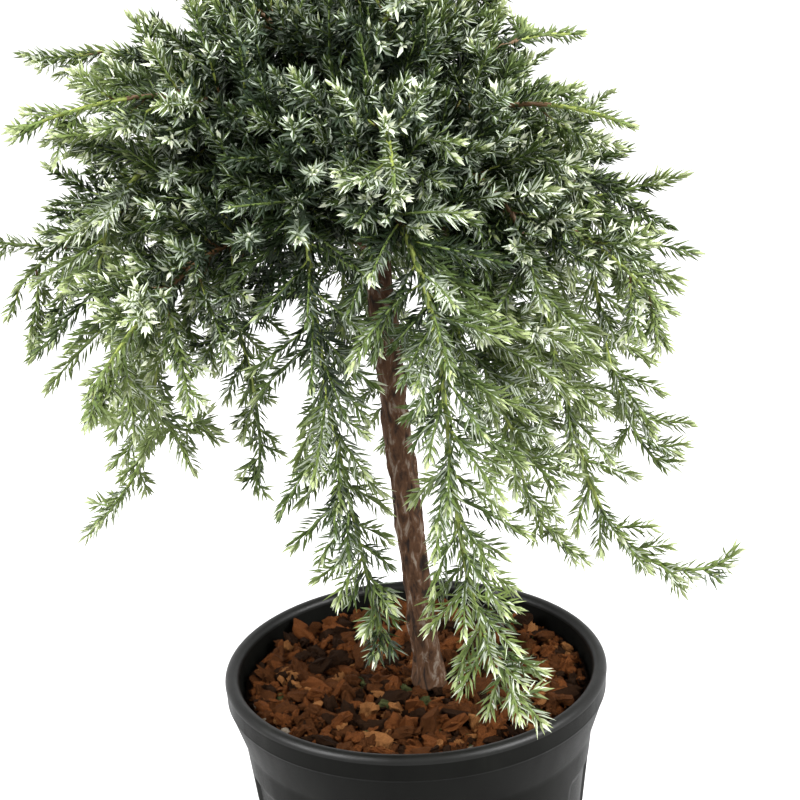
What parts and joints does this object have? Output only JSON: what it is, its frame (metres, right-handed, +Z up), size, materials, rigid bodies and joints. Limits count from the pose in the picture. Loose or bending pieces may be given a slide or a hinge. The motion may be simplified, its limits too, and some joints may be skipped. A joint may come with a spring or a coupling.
{
  "type": "potted weeping conifer",
  "caption": "Small prostrate conifer grafted as a standard: clear stem, domed head of short blue-grey needles and long weeping tails, in a round black nursery pot of bark mix.",
  "frame": {"origin": "middle of the pot's flat underside", "axes": "+Z up along the pot's axis, -Y towards the viewer of the picture, +X to that viewer's right"},
  "size_m": [0.3277, 0.3167, 0.5195],
  "materials": {
    "pot": "satin black, moulded",
    "soil": "moist shredded bark",
    "bark": "dark flaky bark",
    "bough": "thin brown bark",
    "foliage": "blue-green needles with a waxy bloom"
  },
  "bodies": {
    "root": {"pot": "pot", "soil": "soil", "trunk": "bark", "bough_shoulder_1": "bough", "bough_shoulder_2": "bough", "bough_shoulder_3": "bough", "bough_shoulder_4": "bough", "bough_shoulder_5": "bough", "bough_shoulder_6": "bough", "bough_skirt_1": "bough", "bough_skirt_2": "bough", "bough_skirt_3": "bough", "bough_skirt_4": "bough", "bough_skirt_5": "bough", "bough_skirt_6": "bough", "bough_tail_back": "bough", "bough_tail_back_left": "bough", "bough_tail_back_right": "bough", "bough_tail_front_left": "bough", "bough_tail_front_middle": "bough", "bough_tail_front_right": "bough", "bough_tail_left": "bough", "bough_tail_left_front": "bough", "bough_tail_right": "bough", "bough_tail_right_front": "bough", "foliage_crest_1": "foliage", "foliage_crest_2": "foliage", "foliage_crest_3": "foliage", "foliage_crest_4": "foliage", "foliage_shoulder_1": "foliage", "foliage_shoulder_2": "foliage", "foliage_shoulder_3": "foliage", "foliage_shoulder_4": "foliage", "foliage_shoulder_5": "foliage", "foliage_shoulder_6": "foliage", "foliage_skirt_1": "foliage", "foliage_skirt_2": "foliage", "foliage_skirt_3": "foliage", "foliage_skirt_4": "foliage", "foliage_skirt_5": "foliage", "foliage_skirt_6": "foliage", "foliage_tail_back": "foliage", "foliage_tail_back_left": "foliage", "foliage_tail_back_right": "foliage", "foliage_tail_front_left": "foliage", "foliage_tail_front_middle": "foliage", "foliage_tail_front_right": "foliage", "foliage_tail_left": "foliage", "foliage_tail_left_front": "foliage", "foliage_tail_right": "foliage", "foliage_tail_right_front": "foliage"}
  },
  "joints": []
}
